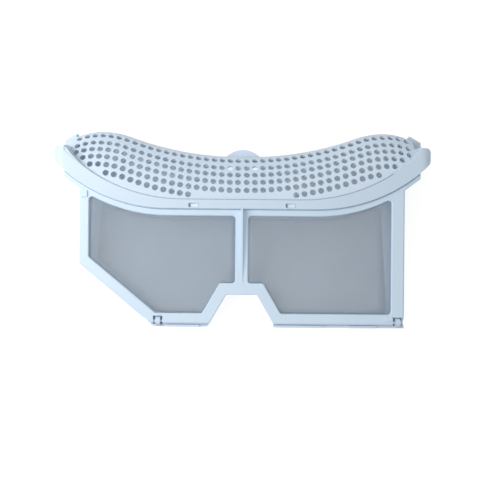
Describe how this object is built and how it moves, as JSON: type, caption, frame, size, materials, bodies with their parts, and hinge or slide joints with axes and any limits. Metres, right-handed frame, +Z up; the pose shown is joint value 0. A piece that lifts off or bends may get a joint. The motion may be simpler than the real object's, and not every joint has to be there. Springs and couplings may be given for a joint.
{
  "type": "tumble dryer lint filter",
  "caption": "Clamshell lint filter for a front-loading tumble dryer: a wedge-shaped mesh pocket with a hinged door under a curved rim and a perforated hood.",
  "frame": {"origin": "middle of the footprint, on the surface that the rear frame lies on", "axes": "+X across the filter to the side without the slant, +Y from the hinge towards the hood, +Z up out of the rear frame"},
  "size_m": [0.356, 0.1898, 0.0484],
  "materials": {
    "white_plastic": "satin moulded plastic",
    "screen_mesh": "fine woven screen"
  },
  "bodies": {
    "pocket": {"housing": "white_plastic", "hood": "white_plastic", "rear_mesh_left": "screen_mesh", "rear_mesh_right": "screen_mesh"},
    "door": {"door_frame": "white_plastic", "door_mesh_left": "screen_mesh", "door_mesh_right": "screen_mesh"}
  },
  "joints": [
    {"name": "door_hinge", "type": "hinge", "parent": "pocket", "child": "door", "pos_m": [0, -0.08923, 0.0106], "axis": [1, 0, 0], "range_deg": [0, 90]}
  ]
}
